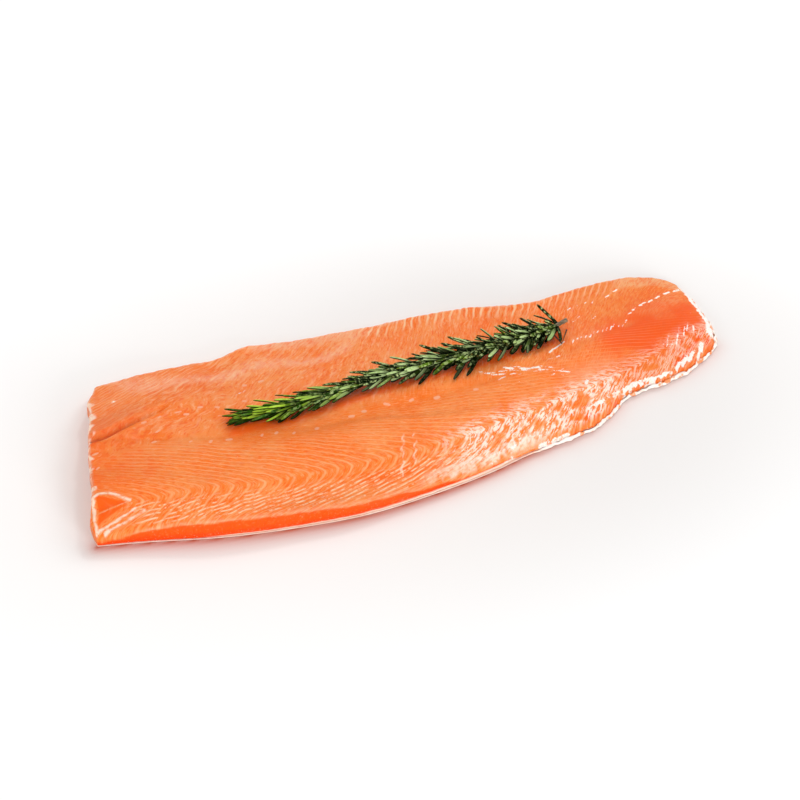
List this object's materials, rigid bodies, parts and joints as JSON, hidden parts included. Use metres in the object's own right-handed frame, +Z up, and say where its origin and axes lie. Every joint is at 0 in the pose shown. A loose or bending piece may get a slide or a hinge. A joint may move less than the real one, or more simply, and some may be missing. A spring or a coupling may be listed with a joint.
{
  "type": "side of salmon",
  "caption": "Raw side of salmon lying skin down, thick back edge to thin belly edge, with a sprig of rosemary along its middle.",
  "frame": {"origin": "under the middle of the side, on the surface that it lies on", "axes": "+X from the head end to the tail end, +Y from the back edge to the belly edge, +Z up from the skin to the flesh"},
  "size_m": [0.4602, 0.1728, 0.039],
  "materials": {
    "flesh": "wet raw salmon flesh, orange with pale fat lines",
    "skin": "wet silver fish skin with small scales, darker towards the back",
    "rosemary": "dark green needles with pale undersides on a woody stem"
  },
  "bodies": {
    "root": {"flesh": "flesh", "skin": "skin", "rosemary_sprig": "rosemary"}
  },
  "joints": []
}
